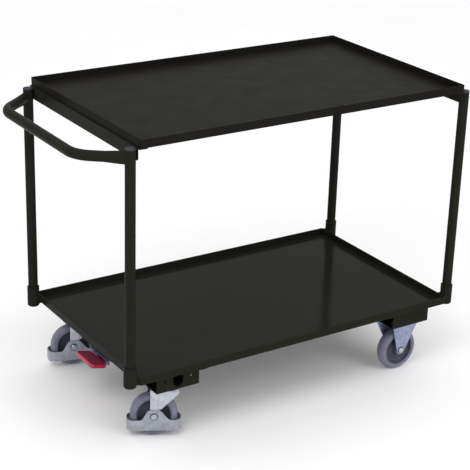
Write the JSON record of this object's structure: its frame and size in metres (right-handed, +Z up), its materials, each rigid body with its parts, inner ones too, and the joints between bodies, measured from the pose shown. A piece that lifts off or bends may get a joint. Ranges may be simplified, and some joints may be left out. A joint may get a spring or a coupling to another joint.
{
  "type": "table trolley",
  "caption": "Two-deck steel table trolley with rimmed decks, tubular posts, a push handle, swivel and fixed castors and a central foot brake.",
  "frame": {"origin": "on the floor, in the middle of the outer box", "axes": "+X towards the front, where the fixed castors are; +Y to the left; +Z up"},
  "size_m": [1.1713, 0.6, 0.85],
  "materials": {
    "powder_coat": "satin anthracite powder coat",
    "zinc": "bright zinc plate",
    "tyre": "grey non-marking rubber",
    "hub_plastic": "dark grey moulded plastic",
    "pedal_red": "red moulded plastic",
    "cap_plastic": "black moulded plastic"
  },
  "bodies": {
    "frame": {"bottom_cross_ribs": "powder_coat", "bottom_deck": "powder_coat", "bottom_long_ribs": "powder_coat", "console_back_left": "powder_coat", "console_back_right": "powder_coat", "console_bolts": "zinc", "console_front_left": "powder_coat", "console_front_right": "powder_coat", "console_nuts": "zinc", "corner_socket_back_left": "powder_coat", "corner_socket_back_right": "powder_coat", "corner_socket_front_left": "powder_coat", "corner_socket_front_right": "powder_coat", "fixed_axle_bolts": "zinc", "fixed_axle_nuts": "zinc", "fixed_fork_left": "zinc", "fixed_fork_right": "zinc", "kingpins": "zinc", "post_back_left": "powder_coat", "post_back_right": "powder_coat", "post_caps": "cap_plastic", "post_front_left": "powder_coat", "post_front_right": "powder_coat", "push_handle": "powder_coat", "rail_nuts": "zinc", "rail_studs": "zinc", "shaft_bearings": "cap_plastic", "swivel_plate_left": "zinc", "swivel_plate_right": "zinc", "top_deck": "powder_coat", "top_long_ribs": "powder_coat", "top_rail_back": "powder_coat", "top_rail_front": "powder_coat"},
    "swivel_left": {"swivel_fork_left": "zinc", "foot_guard_left": "zinc", "axle_bolt_back_left": "zinc", "axle_nut_back_left": "zinc", "ball_ring_left": "zinc"},
    "wheel_back_left": {"wheel_hub_back_left": "hub_plastic", "tyre_back_left": "tyre"},
    "wheel_front_left": {"wheel_hub_front_left": "hub_plastic", "tyre_front_left": "tyre"},
    "plunger_left": {"brake_plunger_left": "zinc"},
    "shoe_left": {"brake_shoe_left": "zinc"},
    "swivel_right": {"swivel_fork_right": "zinc", "foot_guard_right": "zinc", "axle_bolt_back_right": "zinc", "axle_nut_back_right": "zinc", "ball_ring_right": "zinc"},
    "wheel_back_right": {"wheel_hub_back_right": "hub_plastic", "tyre_back_right": "tyre"},
    "wheel_front_right": {"wheel_hub_front_right": "hub_plastic", "tyre_front_right": "tyre"},
    "plunger_right": {"brake_plunger_right": "zinc"},
    "shoe_right": {"brake_shoe_right": "zinc"},
    "brake": {"brake_shaft": "zinc", "brake_cams": "zinc", "pedal_lever": "zinc", "pedal_pad": "pedal_red"}
  },
  "joints": [
    {"name": "swivel_left_turn", "type": "hinge", "parent": "frame", "child": "swivel_left", "pos_m": [-0.3322, 0.236, 0.156], "axis": [0, 0, 1], "continuous": true},
    {"name": "wheel_back_left_spin", "type": "hinge", "parent": "swivel_left", "child": "wheel_back_left", "pos_m": [-0.36601, 0.24506, 0.0625], "axis": [0.2588, 0.9659, 0], "continuous": true},
    {"name": "wheel_front_left_spin", "type": "hinge", "parent": "frame", "child": "wheel_front_left", "pos_m": [0.4338, 0.236, 0.0625], "axis": [0, 1, 0], "continuous": true},
    {"name": "plunger_left_slide", "type": "slide", "parent": "frame", "child": "plunger_left", "axis": [0, 0, -1], "range_m": [0, 0.00399]},
    {"name": "shoe_left_slide", "type": "slide", "parent": "swivel_left", "child": "shoe_left", "axis": [0, 0, -1], "range_m": [0, 0.00399]},
    {"name": "swivel_right_turn", "type": "hinge", "parent": "frame", "child": "swivel_right", "pos_m": [-0.3322, -0.236, 0.156], "axis": [0, 0, 1], "continuous": true},
    {"name": "wheel_back_right_spin", "type": "hinge", "parent": "swivel_right", "child": "wheel_back_right", "pos_m": [-0.3631, -0.21957, 0.0625], "axis": [0.4695, 0.8829, 0], "continuous": true},
    {"name": "wheel_front_right_spin", "type": "hinge", "parent": "frame", "child": "wheel_front_right", "pos_m": [0.4338, -0.236, 0.0625], "axis": [0, 1, 0], "continuous": true},
    {"name": "plunger_right_slide", "type": "slide", "parent": "frame", "child": "plunger_right", "axis": [0, 0, -1], "range_m": [0, 0.00399]},
    {"name": "shoe_right_slide", "type": "slide", "parent": "swivel_right", "child": "shoe_right", "axis": [0, 0, -1], "range_m": [0, 0.00399]},
    {"name": "brake_pedal_press", "type": "hinge", "parent": "frame", "child": "brake", "pos_m": [-0.3322, 0, 0.1795], "axis": [0, -1, 0], "range_deg": [0, 28]}
  ],
  "couplings": [
    {"joint": "plunger_left_slide", "follows": "brake_pedal_press", "m_per_rad": 0.0081649},
    {"joint": "plunger_right_slide", "follows": "brake_pedal_press", "m_per_rad": 0.0081649},
    {"joint": "shoe_left_slide", "follows": "brake_pedal_press", "m_per_rad": 0.0081649},
    {"joint": "shoe_right_slide", "follows": "brake_pedal_press", "m_per_rad": 0.0081649}
  ]
}
